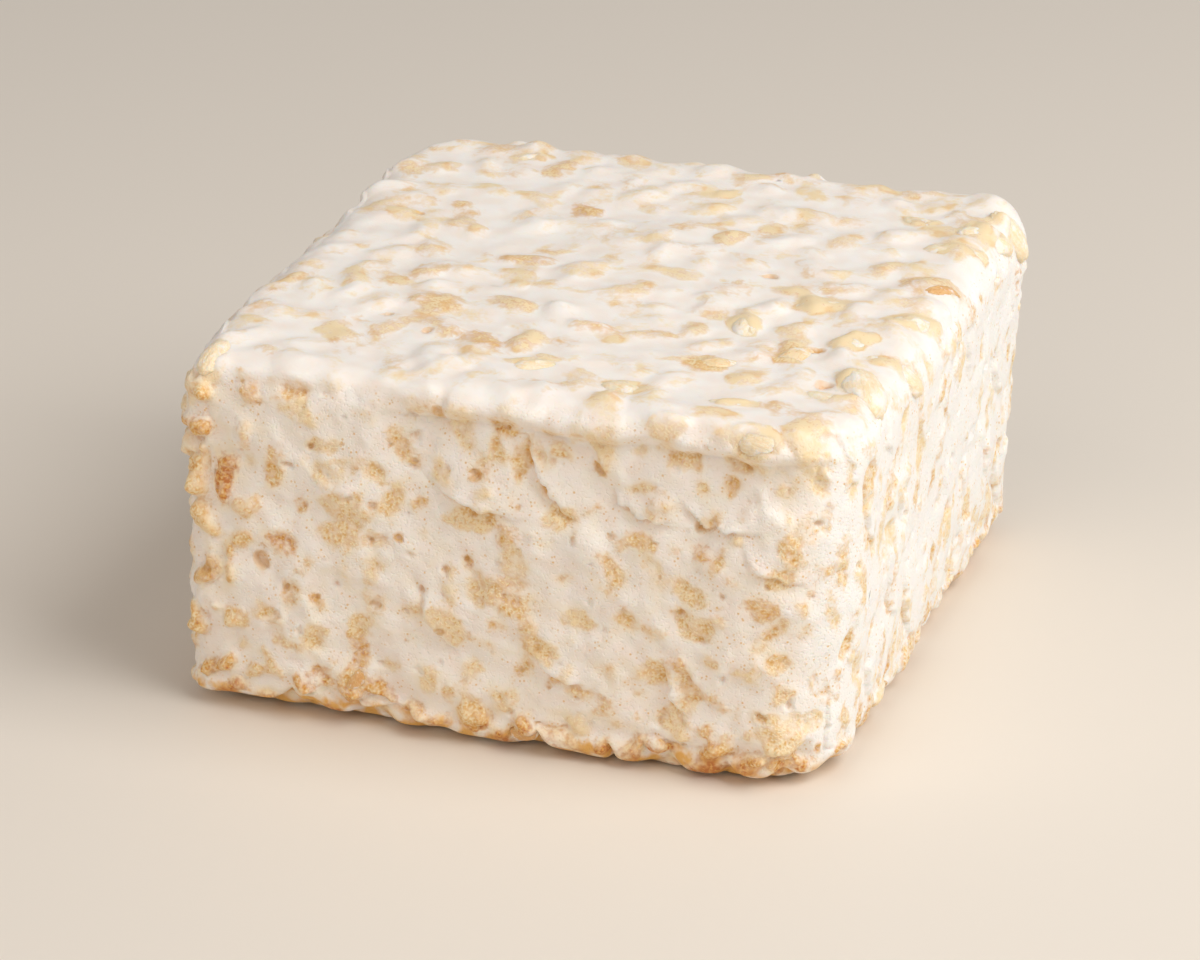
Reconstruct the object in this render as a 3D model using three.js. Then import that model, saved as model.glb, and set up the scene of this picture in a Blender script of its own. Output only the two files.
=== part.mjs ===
// Rice crispy cake: one thick square block of puffed rice held together with marshmallow,
// pressed into a tin, turned out and cut with a knife. It is a single solid, uneven all over.
//
// Frame: millimetres, +Z up, +X to the right along the front, +Y to the back.
// The origin is on the table, under the middle of the block.
import * as THREE from "three";
import { mergeVertices } from "three/addons/utils/BufferGeometryUtils.js";

const { degToRad, lerp, seededRandom, smoothstep } = THREE.MathUtils;

// ---------------------------------------------------------------- driving dimensions

const WIDTH = 75.4;
const DEPTH = 80;
const HEIGHT = 41.2;

const CELL = 2.4; // side of one grid cell on the faces
const SKELETON_INSET = 12; // how far inside the faces the rays to the surface start
const CAST_HALVINGS = 30; // times that the search for the surface along a ray halves its step

// Radius of each upright edge. The knife leaves them sharper than the corners of the tin do.
const UPRIGHT_RADIUS = { frontLeft: 4, frontRight: 9.5, backRight: 5, backLeft: 9.5 };
const TOP_RADIUS = 4.4;
const FOOT_RADIUS = 3;
// How far each side leans in from the top to the foot.
const FOOT_TAPER = { left: 0.4, right: 1.7, front: 0.3, back: 0.3 };

// Slow unevenness from pressing by hand: plane waves of falling length.
const WAVE_COUNT = 7;
const LONGEST_WAVE = 44;
const WAVE_RATIO = 0.8; // length of each wave against the one before
const WAVE_STEEPNESS = 0.005; // height of a wave against its length

// One puffed grain of rice, as the lump that it raises on the surface.
const GRAIN_LENGTH = 6.4;
const GRAIN_WIDTH = 3.7;
const GRAIN_SPREAD = 0.22; // share by which a grain's size varies
const TOP_GRAIN_HEIGHT = 0.9; // the pressed top keeps its lumps
const SIDE_GRAIN_HEIGHT = 0.45; // the cut sides are flatter
const LOWEST_GRAIN = 0.4; // height of the most sunken grain against the most raised one
const AREA_PER_GRAIN = 34; // square millimetres of surface for each raised grain

// Gaps between grains along the foot, where the outline is ragged.
const FOOT_GAP_SPACING = 6;
const FOOT_GAP_WIDTH = 3.4;
const FOOT_GAP_HEIGHT = 4;
const FOOT_GAP_DEPTH = 1.5;
const CALM_FOOT = 4; // height above the table over which the lumps and waves begin

// One grain stands out at the back right corner of the top.
const CORNER_GRAIN = { x: WIDTH / 2 - 1.4, y: DEPTH / 2 - 4, z: HEIGHT - 3, size: 1.3, height: 1.7 };

// The pressed top hangs over the front as a lip, with a hollow under it.
const LIP = { from: -12, to: 33, z: HEIGHT - 3.4, halfHeight: 2.4, height: 0.6 };
const HOLLOW = { from: 0, to: 35, z: HEIGHT - 9, halfHeight: 4, height: -1.4 };
const BAND_FADE = 9; // length over which a lip or hollow dies away at each end
const BAND_REACH = { from: 8, to: 2 }; // how far behind the front face a band starts and is full

const SEED = 41;

// ---------------------------------------------------------------- the pressed and cut block

/** Radius of the upright edge in the quarter of the plan that holds (x, y). */
function uprightRadius(x, y) {
  if (y < 0) return x < 0 ? UPRIGHT_RADIUS.frontLeft : UPRIGHT_RADIUS.frontRight;
  return x < 0 ? UPRIGHT_RADIUS.backLeft : UPRIGHT_RADIUS.backRight;
}

/** Distance to a corner rounded by radius, where a and b are the distances to its two sides. */
function roundedCorner(a, b, radius) {
  const outside = Math.hypot(Math.max(a + radius, 0), Math.max(b + radius, 0));
  return Math.min(Math.max(a + radius, b + radius), 0) + outside - radius;
}

/** Signed distance from a point to the smooth block: below zero inside it. */
function blockDistance(p) {
  const towardsFoot = 1 - p.z / HEIGHT;
  const leanX = p.x < 0 ? FOOT_TAPER.left : FOOT_TAPER.right;
  const leanY = p.y < 0 ? FOOT_TAPER.front : FOOT_TAPER.back;
  const plan = roundedCorner(
    Math.abs(p.x) - WIDTH / 2 + leanX * towardsFoot,
    Math.abs(p.y) - DEPTH / 2 + leanY * towardsFoot,
    uprightRadius(p.x, p.y),
  );
  const upper = p.z > HEIGHT / 2;
  const cap = upper ? p.z - HEIGHT : -p.z;
  return roundedCorner(plan, cap, upper ? TOP_RADIUS : FOOT_RADIUS);
}

// ---------------------------------------------------------------- unevenness

/** Plane waves in directions that spread evenly round a half sphere. */
function makeWaves() {
  const goldenAngle = degToRad(137.508);
  const waves = [];
  for (let i = 0; i < WAVE_COUNT; i++) {
    const rise = (i + 0.5) / WAVE_COUNT;
    const flat = Math.sqrt(1 - rise * rise);
    const length = LONGEST_WAVE * WAVE_RATIO ** i;
    waves.push({
      direction: new THREE.Vector3(
        flat * Math.cos(i * goldenAngle),
        flat * Math.sin(i * goldenAngle),
        rise,
      ),
      length,
      height: length * WAVE_STEEPNESS,
    });
  }
  return waves;
}

const waves = makeWaves();

function waveHeight(p) {
  let height = 0;
  for (const { direction, length, height: crest } of waves) {
    height += crest * Math.sin((2 * Math.PI * p.dot(direction)) / length + length);
  }
  return height;
}

/** Rises from 0 to 1 across the place where a band starts. */
function fadeIn(x, start) {
  return smoothstep(x, start - BAND_FADE / 2, start + BAND_FADE / 2);
}

/** A lip or hollow that runs along the front face and fades out at both ends. */
function frontBand(band, p) {
  const onFront = smoothstep(-p.y, DEPTH / 2 - BAND_REACH.from, DEPTH / 2 - BAND_REACH.to);
  const ends = fadeIn(p.x, band.from) * fadeIn(-p.x, -band.to);
  const across = (p.z - band.z) / band.halfHeight;
  return band.height * onFront * ends * Math.exp(-across * across);
}

/** A lump shaped like a grain, lying against the surface at centre and turned by heading. */
function makeGrain(centre, normal, heading, size, height) {
  const notAlongAnyFace = new THREE.Vector3(0.3, 0.2, 1);
  const along = new THREE.Vector3().crossVectors(normal, notAlongAnyFace).normalize();
  along.applyAxisAngle(normal, heading);
  return {
    centre,
    along,
    halfLength: (GRAIN_LENGTH * size) / 2,
    halfWidth: (GRAIN_WIDTH * size) / 2,
    height,
  };
}

/** The top and the four sides: outward normal and area. */
const exposedFaces = [
  { normal: new THREE.Vector3(0, 0, 1), area: WIDTH * DEPTH },
  { normal: new THREE.Vector3(0, -1, 0), area: WIDTH * HEIGHT },
  { normal: new THREE.Vector3(0, 1, 0), area: WIDTH * HEIGHT },
  { normal: new THREE.Vector3(1, 0, 0), area: DEPTH * HEIGHT },
  { normal: new THREE.Vector3(-1, 0, 0), area: DEPTH * HEIGHT },
];

/** A point picked evenly over one face of the plain box. */
function pickSpot(normal) {
  const spot = new THREE.Vector3(
    lerp(-WIDTH / 2, WIDTH / 2, seededRandom()),
    lerp(-DEPTH / 2, DEPTH / 2, seededRandom()),
    lerp(0, HEIGHT, seededRandom()),
  );
  if (normal.x) spot.x = (normal.x * WIDTH) / 2;
  if (normal.y) spot.y = (normal.y * DEPTH) / 2;
  if (normal.z) spot.z = HEIGHT;
  return spot;
}

function makeSurfaceGrains() {
  const grains = [];
  for (const { normal, area } of exposedFaces) {
    const tallest = normal.z > 0 ? TOP_GRAIN_HEIGHT : SIDE_GRAIN_HEIGHT;
    for (let i = 0; i < area / AREA_PER_GRAIN; i++) {
      const spot = pickSpot(normal);
      const heading = seededRandom() * Math.PI;
      const size = 1 + GRAIN_SPREAD * lerp(-1, 1, seededRandom());
      const height = tallest * lerp(LOWEST_GRAIN, 1, seededRandom());
      grains.push(makeGrain(spot, normal, heading, size, height));
    }
  }
  const corner = new THREE.Vector3(CORNER_GRAIN.x, CORNER_GRAIN.y, CORNER_GRAIN.z);
  const outwards = new THREE.Vector3(1, 1, 1).normalize();
  grains.push(makeGrain(corner, outwards, 0, CORNER_GRAIN.size, CORNER_GRAIN.height));
  return grains;
}

/** Upright gaps between grains, one after another round the foot of the block. */
function makeFootGaps() {
  const corners = [
    new THREE.Vector3(-WIDTH / 2, -DEPTH / 2, 0),
    new THREE.Vector3(WIDTH / 2, -DEPTH / 2, 0),
    new THREE.Vector3(WIDTH / 2, DEPTH / 2, 0),
    new THREE.Vector3(-WIDTH / 2, DEPTH / 2, 0),
  ];
  const gaps = [];
  corners.forEach((from, side) => {
    const to = corners[(side + 1) % corners.length];
    const count = Math.round(from.distanceTo(to) / FOOT_GAP_SPACING);
    for (let i = 0; i < count; i++) {
      gaps.push({
        centre: from.clone().lerp(to, (i + lerp(0.15, 0.85, seededRandom())) / count),
        along: new THREE.Vector3(0, 0, 1),
        halfLength: FOOT_GAP_HEIGHT / 2,
        halfWidth: FOOT_GAP_WIDTH * lerp(0.35, 0.65, seededRandom()),
        height: -FOOT_GAP_DEPTH * lerp(0.4, 1, seededRandom()),
      });
    }
  });
  return gaps;
}

/** Height of a lump or depth of a gap at a point near it. */
function lumpHeight({ centre, along, halfLength, halfWidth, height }, p) {
  const offset = new THREE.Vector3().subVectors(p, centre);
  const lengthwise = offset.dot(along);
  const crosswiseSquared = offset.lengthSq() - lengthwise * lengthwise;
  return height * Math.exp(-((lengthwise / halfLength) ** 2) - crosswiseSquared / halfWidth ** 2);
}

seededRandom(SEED);
const surfaceGrains = makeSurfaceGrains();
const footGaps = makeFootGaps();

/** Everything that raises or lowers the surface at a point, as a height along its normal. */
function relief(p) {
  const offTheTable = smoothstep(p.z, 0, CALM_FOOT);
  const lumps = surfaceGrains.reduce((top, grain) => Math.max(top, lumpHeight(grain, p)), 0);
  const gaps = footGaps.reduce((low, gap) => Math.min(low, lumpHeight(gap, p)), 0);
  const slow = waveHeight(p) + frontBand(LIP, p) + frontBand(HOLLOW, p);
  return offTheTable * (lumps + slow) + gaps;
}

// ---------------------------------------------------------------- the solid

/** The point where a ray from inside the block leaves the smooth block. */
function castToBlock(start, direction) {
  let near = 0;
  let far = 2 * SKELETON_INSET;
  for (let i = 0; i < CAST_HALVINGS; i++) {
    const middle = (near + far) / 2;
    const p = start.clone().addScaledVector(direction, middle);
    if (blockDistance(p) < 0) near = middle;
    else far = middle;
  }
  return start.clone().addScaledVector(direction, near);
}

/** Moves one vertex of the plain box on to the uneven surface of the block. */
function toSurface(boxPoint) {
  const inner = new THREE.Vector3(
    WIDTH / 2 - SKELETON_INSET,
    DEPTH / 2 - SKELETON_INSET,
    HEIGHT / 2 - SKELETON_INSET,
  );
  const middle = new THREE.Vector3(0, 0, HEIGHT / 2);
  const onSkeleton = boxPoint.clone().sub(middle).clamp(inner.clone().negate(), inner).add(middle);
  const direction = boxPoint.clone().sub(onSkeleton).normalize();
  const p = castToBlock(onSkeleton, direction);
  const onBase = direction.z === -1;
  if (onBase) return p.setZ(0);
  p.addScaledVector(direction, relief(p));
  return p.setZ(Math.max(p.z, 0));
}

function makeBlockGeometry() {
  const box = new THREE.BoxGeometry(
    WIDTH,
    DEPTH,
    HEIGHT,
    Math.round(WIDTH / CELL),
    Math.round(DEPTH / CELL),
    Math.round(HEIGHT / CELL),
  );
  box.deleteAttribute("normal");
  box.deleteAttribute("uv");
  box.translate(0, 0, HEIGHT / 2);
  const geometry = mergeVertices(box);
  const position = geometry.getAttribute("position");
  const vertex = new THREE.Vector3();
  for (let i = 0; i < position.count; i++) {
    const moved = toSurface(vertex.fromBufferAttribute(position, i));
    position.setXYZ(i, moved.x, moved.y, moved.z);
  }
  geometry.computeBoundingBox();
  const centre = geometry.boundingBox.getCenter(new THREE.Vector3());
  geometry.translate(-centre.x, -centre.y, 0);
  geometry.computeVertexNormals();
  return geometry;
}

// ---------------------------------------------------------------- the model

const marshmallow = new THREE.MeshStandardMaterial({
  color: new THREE.Color(0.9, 0.84, 0.74),
  roughness: 0.55,
  metalness: 0,
});

const cake = new THREE.Group();
const block = new THREE.Mesh(makeBlockGeometry(), marshmallow);
block.name = "crispy_block";
cake.add(block);

export default cake;
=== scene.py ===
"""Rice crispy cake: puffed rice stirred into melted marshmallow, pressed into a tin, turned out and
cut square. Sizes are in millimetres until a mesh is made, and then MM turns them into metres."""

import math
from itertools import product

import bpy
import numpy as np
from mathutils import Matrix, Vector
from mathutils.kdtree import KDTree


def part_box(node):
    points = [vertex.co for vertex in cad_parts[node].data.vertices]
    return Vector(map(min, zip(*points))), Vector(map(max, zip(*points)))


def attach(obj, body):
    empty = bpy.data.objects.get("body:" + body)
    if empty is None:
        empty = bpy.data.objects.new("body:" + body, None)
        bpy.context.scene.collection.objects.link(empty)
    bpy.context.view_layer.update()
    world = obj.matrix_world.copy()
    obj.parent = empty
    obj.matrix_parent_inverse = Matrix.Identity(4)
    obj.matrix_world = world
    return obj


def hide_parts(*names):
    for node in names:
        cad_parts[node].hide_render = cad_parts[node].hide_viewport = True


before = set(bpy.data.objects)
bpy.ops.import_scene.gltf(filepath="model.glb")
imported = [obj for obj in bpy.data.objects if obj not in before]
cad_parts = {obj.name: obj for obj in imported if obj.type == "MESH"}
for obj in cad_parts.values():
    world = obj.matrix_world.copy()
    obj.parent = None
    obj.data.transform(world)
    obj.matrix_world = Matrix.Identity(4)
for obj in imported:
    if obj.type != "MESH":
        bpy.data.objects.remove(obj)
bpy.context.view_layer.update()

# ---------------------------------------------------------------- the plain block
# The mixture sets to the shape of the tin and of the knife: a thick square block with rounded
# edges, which leans in a little towards its foot. Grains, tears and bubbles are added to it below.
MM = 0.001
SOLID = "crispy_block"
LUMPS = np.array([1.0, 1.4, 1.1])  # what grains add to the plain block's width, depth and height
lowest, highest = (np.array(corner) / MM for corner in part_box(SOLID))
WIDTH, DEPTH, HEIGHT = highest - lowest - LUMPS
UPRIGHT_RADIUS = {"front left": 4, "front right": 9.5, "back right": 5, "back left": 9.5}
TOP_RADIUS = 4.4
FOOT_RADIUS = 3
LEAN = {"left": 0.4, "right": 1.7, "front": 0.3, "back": 0.3}  # how far a side leans in at its foot
CELL = 0.28  # side of one face of the fine grid that covers the block
SKELETON_INSET = 12  # how far inside the block the rays to its surface start


def rounded(a, b, radius):
    """Distance to a corner rounded by radius, from the distances a and b to its two sides."""
    outside = np.hypot(np.maximum(a + radius, 0), np.maximum(b + radius, 0))
    return np.minimum(np.maximum(a + radius, b + radius), 0) + outside - radius


def distance_to_outline(points):
    """Distance to the block's upright sides, below 0 inside it."""
    x, y, z = points.T
    towards_foot = 1 - z / HEIGHT
    lean_x = np.where(x < 0, LEAN["left"], LEAN["right"]) * towards_foot
    lean_y = np.where(y < 0, LEAN["front"], LEAN["back"]) * towards_foot
    front = np.where(x < 0, UPRIGHT_RADIUS["front left"], UPRIGHT_RADIUS["front right"])
    back = np.where(x < 0, UPRIGHT_RADIUS["back left"], UPRIGHT_RADIUS["back right"])
    upright = np.where(y < 0, front, back)
    return rounded(abs(x) - WIDTH / 2 + lean_x, abs(y) - DEPTH / 2 + lean_y, upright)


def distance_to_block(points):
    z = points[:, 2]
    upper = z > HEIGHT / 2
    cap = np.where(upper, z - HEIGHT, -z)
    radius = np.where(upper, TOP_RADIUS, FOOT_RADIUS)
    return rounded(distance_to_outline(points), cap, radius)


def uphill(distance, points):
    """Unit vectors away from the block, from one of the two distances."""
    slope = [distance(points + step) - distance(points - step) for step in np.eye(3) * 0.05]
    slope = np.stack(slope, axis=1)
    return slope / np.maximum(np.linalg.norm(slope, axis=1), 1e-9)[:, None]


def lattice_box(cells):
    """Points and outward quads of a box whose sides are divided into the given numbers of cells."""
    quads = []
    for axis in range(3):
        across, along = (axis + 1) % 3, (axis + 2) % 3
        i, j = (g.ravel() for g in np.meshgrid(np.arange(cells[across]), np.arange(cells[along])))
        for level, order in ((0, -1), (cells[axis], 1)):
            corners = []
            for di, dj in ((0, 0), (1, 0), (1, 1), (0, 1))[::order]:
                corner = np.full((len(i), 3), level)
                corner[:, across] = i + di
                corner[:, along] = j + dj
                corners.append(corner)
            quads.append(np.stack(corners, axis=1))
    quads = np.concatenate(quads)
    keys = (quads[..., 0] * (cells[1] + 1) + quads[..., 1]) * (cells[2] + 1) + quads[..., 2]
    keys, first, index = np.unique(keys, return_index=True, return_inverse=True)
    return quads.reshape(-1, 3)[first], index.reshape(-1, 4)


def plain_block(cell):
    """Points, outward normals and quads of the block before anything is raised on it."""
    size = np.array([WIDTH, DEPTH, HEIGHT])
    cells = np.round(size / cell).astype(int)
    lattice, quads = lattice_box(cells)
    boxed = (lattice / cells - (0.5, 0.5, 0)) * size
    middle = np.array([0, 0, HEIGHT / 2])
    reach = size / 2 - SKELETON_INSET
    inner = np.clip(boxed - middle, -reach, reach) + middle
    ways = boxed - inner
    ways /= np.linalg.norm(ways, axis=1)[:, None]
    near = np.zeros(len(inner))
    far = np.full(len(inner), 2.0 * SKELETON_INSET)
    for _ in range(24):
        half = (near + far) / 2
        inside = distance_to_block(inner + ways * half[:, None]) < 0
        near, far = np.where(inside, half, near), np.where(inside, far, half)
    points = inner + ways * near[:, None]
    return points, uphill(distance_to_block, points), quads


def smooth(low, high, value):
    """Rises smoothly from 0 to 1 as value goes from low to high."""
    t = np.clip((value - low) / (high - low), 0, 1)
    return t * t * (3 - 2 * t)


def unevenness(points, size, seed):
    """Smooth random bumps, from -1 to 1, about size across."""
    rng = np.random.default_rng(seed)
    turn, _ = np.linalg.qr(rng.normal(size=(3, 3)))
    random = rng.uniform(-1, 1, (32, 32, 32))
    spots = points @ turn / size + 100
    cell = np.floor(spots).astype(int)
    share = spots - cell
    share = share * share * (3 - 2 * share)
    total = np.zeros(len(points))
    for corner in product((0, 1), repeat=3):
        weight = np.prod(np.where(corner, share, 1 - share), axis=1)
        total += weight * random[tuple(((cell + corner) % 32).T)]
    return total


points, normals, quads = plain_block(CELL)
places = KDTree(len(points))
for index, place in enumerate(points.tolist()):
    places.insert(place, index)
places.balance()


def near_to(spot, reach):
    """The points of the plain block within reach of a spot."""
    return np.array([index for _, index, _ in places.find_range(spot, reach)], int)


cut = 1 - smooth(0.45, 0.85, normals[:, 2])  # 1 on the cut sides, 0 on the pressed top
on_right = smooth(0.3, 0.85, normals[:, 0])  # 1 on the right-hand side, which was cut the cleanest
on_base = normals[:, 2] < -0.9
off_table = smooth(0.3, 4, points[:, 2])

# ---------------------------------------------------------------- the grains in the block
# Puffed grains of rice lie just under the whole surface. On top they lie flat under a film of
# marshmallow, and a few are bare. On the sides the knife has cut through them.
GRAIN_HALF = np.array([3.3, 1.85, 1.5])  # half the length, width and thickness of one grain
PRESSED = 0.6  # how round the grains on top still are after pressing
BARE = -0.3  # where the film lies lower than this on a grain, the grain is bare and still round
TOP_GAP = 4.0  # least distance between the middles of two grains on top
SIDE_GAP = 2.6  # and on the sides
SPOTS_TRIED = 9000  # random spots on the grid that a grain, a tear or a bubble may have as its middle
rng = np.random.default_rng(11)


def spread(candidates, gap, taken=()):
    """Goes through the candidates in order and keeps those at least gap from all kept before."""
    kept = list(taken)
    for index in candidates:
        spots = points[kept]
        if not kept or np.min(np.sum((spots - points[index]) ** 2, axis=1)) > gap * gap:
            kept.append(index)
    return kept[len(taken) :]


def turned(normal, heading, tilt, roll):
    """Axes of a grain, as columns: it lies along the surface, turned by heading, then tipped."""
    ahead = np.cross((0.0, 0.0, 1.0), normal) if abs(normal[2]) < 0.8 else np.array([1.0, 0, 0])
    ahead = ahead - normal * (ahead @ normal)
    ahead /= np.linalg.norm(ahead)
    left = np.cross(normal, ahead)
    base = Matrix(np.stack([ahead, left, normal], axis=1).tolist())
    turn = Matrix.Rotation(heading, 3, "Z") @ Matrix.Rotation(tilt, 3, "Y")
    return np.array(base @ turn @ Matrix.Rotation(roll, 3, "X"))


def grain(
    index,
    rise,
    tone,
    heading,
    cover=0.0,
    cap=0.0,
    dent=0.0,
    tilt=0.0,
    roll=0.0,
    size=1.0,
    base=points,
):
    """One grain: its highest point is rise above the plain block, under a film cover thick. Cap is
    how much thicker the film is on its crest, and dent how deep it lies where it is cut."""
    normal = normals[index]
    axes = turned(normal, heading, tilt, roll)
    half = GRAIN_HALF * size
    height = np.linalg.norm(half * (normal @ axes))
    return {
        "centre": base[index] + normal * (rise - height),
        "axes": axes,
        "half": half,
        "rise": rise,
        "pressed": PRESSED if normal[2] > 0.5 and cover > BARE else 1.0,
        "cover": cover,
        "cap": cap,
        "dent": dent,
        "tone": tone,
    }


# The bare grains, listed: a spot near the middle of each, its heading and size, and how far it
# stands out. Most are near the right-hand edge, the front edge and the back right corner.
BARE_GRAINS = (
    ((34.5, -23.5, HEIGHT), -60, 1.35, 1.1),
    ((34, -4.5, HEIGHT), 60, 1.25, 0.8),
    ((24, -2.5, HEIGHT), 20, 1.3, 0.7),
    ((29.8, -12, HEIGHT), 60, 1.2, 0.8),
    ((17.5, -11, HEIGHT), -75, 0.95, 0.6),
    ((27.5, -39.3, HEIGHT - 1.2), -8, 0.8, 1.05),
    ((18, -39, HEIGHT - 1), 5, 0.75, 0.95),
    ((22, -33, HEIGHT), 12, 0.9, 0.35),
    ((10.5, -32.5, HEIGHT), -20, 1.0, 0.4),
    ((-0.4, -29, HEIGHT), 30, 1.05, 0.35),
    ((33, 19, HEIGHT), 10, 1.25, 0.9),
    ((35.5, 26, HEIGHT), 40, 1.15, 1.0),
    ((38.3, 31.5, HEIGHT - 1), 100, 1.05, 1.2),
    ((27, 27, HEIGHT), -20, 1.0, 0.5),
    ((-34, -37, HEIGHT - 1), 80, 0.8, 0.4),
    ((-22, 33, HEIGHT), 40, 1.0, 0.5),
)
grains = []
bare = []
hero_spots = []
for spot, heading, size, rise in BARE_GRAINS:
    index = places.find(spot)[1]
    hero_spots.append(index)
    one = grain(index, rise, tone=0.35, heading=math.radians(heading), cover=-0.35, size=size)
    grains.append(one)
    bare.append(one)

order = rng.permutation(np.flatnonzero(~on_base))[:SPOTS_TRIED]
for index in spread(order[normals[order, 2] > 0.55], TOP_GAP, hero_spots):
    x, y, z = points[index]
    edge = smooth(16, 34, x) * smooth(-40, -15, y)
    uncovered = rng.random() < 0.02 + 0.1 * edge
    calm = 1 - 0.5 * smooth(20, 36, y)
    one = grain(
        index,
        rise=rng.uniform(-0.3, 0.3) * calm + 0.2 * uncovered,
        cover=-0.4 if uncovered else rng.uniform(0.1, 0.55) + 0.1 * edge,
        cap=rng.choice((0.9, 0.6, 0.2, -0.15)) * (1 - 0.5 * edge) * (not uncovered),
        tone=np.clip(rng.normal(0.52 - 0.15 * edge, 0.3), 0, 1.2),
        heading=rng.uniform(0, math.pi),
        tilt=rng.normal(0, 0.1),
        roll=rng.normal(0, 0.25),
        size=rng.uniform(0.88, 1.28),
    )
    grains.append(one)
    if uncovered:
        bare.append(one)

# The cut grains on the front, listed: how far along the front and up it, heading and size, how
# brown, and how hollow, which leaves only a ring of its skin to see.
CUT_GRAINS = (
    (-35.5, 33, 0, 0.6, 0.95, 0),
    (-36, 27, 100, 0.7, 0.5, 0.3),
    (-29, 25, 20, 0.6, 0.5, 0.4),
    (-34.5, 22, -20, 0.8, 0.4, 0),
    (-30, 20.5, 50, 0.5, 0.6, 0),
    (-36, 10, 80, 0.7, 0.6, 0),
    (-29.5, 33, 80, 0.6, 0.5, 0.4),
    (-31, 11, 30, 0.6, 0.4, 0.5),
    (-24.5, 9.5, -30, 0.5, 0.4, 0.3),
    (-32, 27.5, 95, 0.8, 1.3, 0),
    (-26, 31, 88, 0.75, 0.6, 0),
    (-20, 30, 10, 0.8, 0.35, 0.9),
    (-18, 26, -25, 1.0, 0.5, 0.4),
    (-21.3, 33, 20, 0.5, 0.3, 0),
    (-15.5, 30.2, -30, 0.5, 0.45, 0),
    (-11, 33, -35, 0.65, 0.75, 0.5),
    (-18.6, 22.3, -15, 0.8, 0.55, 0.3),
    (-13, 27.2, 42, 0.6, 0.5, 0),
    (-7, 31, -60, 0.5, 0.3, 0.3),
    (-4, 27, 20, 1.0, 0.45, 0),
    (-1.5, 35, 60, 0.4, 0.55, 0),
    (1.2, 34, 80, 0.65, 0.6, 0),
    (0.6, 22.5, 90, 0.85, 0.4, 0.6),
    (-6.5, 14.5, -70, 0.95, 0.4, 0),
    (-34.3, 16.6, 40, 0.65, 0.9, 0.6),
    (-22.5, 19, 30, 0.4, 0.7, 0),
    (-21.3, 15.2, -40, 0.45, 0.9, 0.5),
    (-16.8, 9.5, 80, 0.65, 1.1, 0.2),
    (-17.3, 5.3, 70, 0.75, 1.15, 0.2),
    (-33.5, 4.8, 30, 0.65, 0.95, 0),
    (-28.7, 5.3, 35, 0.5, 0.5, 0),
    (-9, 7, 70, 0.5, 0.35, 0),
    (-4, 4.5, 60, 0.75, 0.5, 0),
    (0.2, 6, 30, 0.65, 0.45, 0.3),
    (-3.3, 2.6, 60, 0.55, 0.85, 0),
    (3, 14.4, 80, 0.4, 0.75, 0),
    (4.4, 12.8, -10, 0.6, 0.5, 0),
    (6, 28.6, 10, 0.6, 0.4, 0),
    (15.5, 33, 0, 0.6, 0.4, 0),
    (14.8, 27, 10, 0.75, 0.8, 0),
    (11.5, 24, -45, 0.5, 0.65, 0),
    (20, 22.2, -40, 0.65, 0.5, 0),
    (20.5, 18.6, -30, 0.7, 0.5, 0.3),
    (17, 17.4, 0, 0.5, 0.8, 0.4),
    (13.5, 17.8, -20, 0.5, 0.5, 0),
    (28, 21.5, -10, 0.6, 0.95, 0),
    (23.4, 25.6, 60, 0.45, 0.8, 0),
    (32, 27.6, 100, 0.7, 0.75, 0),
    (31, 24.8, 20, 0.55, 0.6, 0),
    (35, 31, 30, 0.75, 0.5, 0.9),
    (22, 30.8, 30, 0.5, 0.35, 0),
    (19.8, 36.8, -10, 0.45, 0.6, 0),
    (16.5, 12, -10, 0.75, 0.6, 0),
    (20, 7, -60, 0.85, 0.4, 0.5),
    (23.3, 14.3, 0, 0.45, 0.7, 0),
    (23.5, 9.2, 100, 0.45, 0.85, 0),
    (27, 13.8, 20, 0.55, 0.35, 0.6),
    (31, 14.5, 20, 0.6, 0.6, 0),
    (30.5, 6, 10, 0.8, 0.6, 0),
    (25, 4.2, 80, 0.4, 0.8, 0),
    (8.3, 17.2, 0, 0.6, 0.3, 0),
    (34.5, 8, 20, 0.65, 0.25, 0.9),
)
cut_spots = []
for x, z, heading, size, browning, hollow in CUT_GRAINS:
    index = places.find((x, -DEPTH / 2, z))[1]
    cut_spots.append(index)
    rise, dent = 0.3 + 0.6 * size, rng.uniform(-0.15, 0.35)
    heading = math.radians(heading)
    grains.append(grain(index, rise, browning, heading, cap=hollow, dent=dent, size=size))

# Grains cut at random on the sides. Those on the right are paler: partly painted light for the side
# the key light falls on, partly fewer browned grains there.
for index in spread(order[(normals[order, 2] <= 0.55)], SIDE_GAP, cut_spots):
    in_front = smooth(0.5, 0.9, -normals[index, 1])
    to_right = on_right[index]
    low = smooth(9, 3, points[index, 2])
    grains.append(
        grain(
            index,
            rise=rng.uniform(-0.6 + 0.3 * low, 1.0 - 0.4 * in_front - 0.2 * to_right + 0.4 * low),
            dent=rng.uniform(-0.3, 0.6),
            tone=np.clip(rng.normal(0.55, 0.3) - 0.2 * to_right + 0.3 * low, 0, 1.3),
            cap=rng.choice((0.0, 0.0, 0.4, 0.9)),
            heading=rng.normal(math.pi / 2, 1.4 - 1.0 * to_right),
            tilt=rng.normal(0, 0.8 - 0.6 * to_right),
            roll=rng.uniform(0, math.pi),
            size=rng.uniform(0.5, 1.0 - 0.15 * to_right),
        )
    )

# ---------------------------------------------------------------- the marshmallow
# Melted marshmallow that has set: smooth and soft-edged on top, a fine foam where it is cut, torn
# into overlapping flaps where the knife dragged it, and ragged along the foot.
FILM_SOFTNESS = 0.3  # how softly the film runs from one grain down to the next
TENSION = 13  # how many times the film on top is evened out
WARP = 0.8  # how far the grains' outlines wander
STICKING_OUT = 0.1  # how far a grain's crest stands out of the film around it


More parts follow.
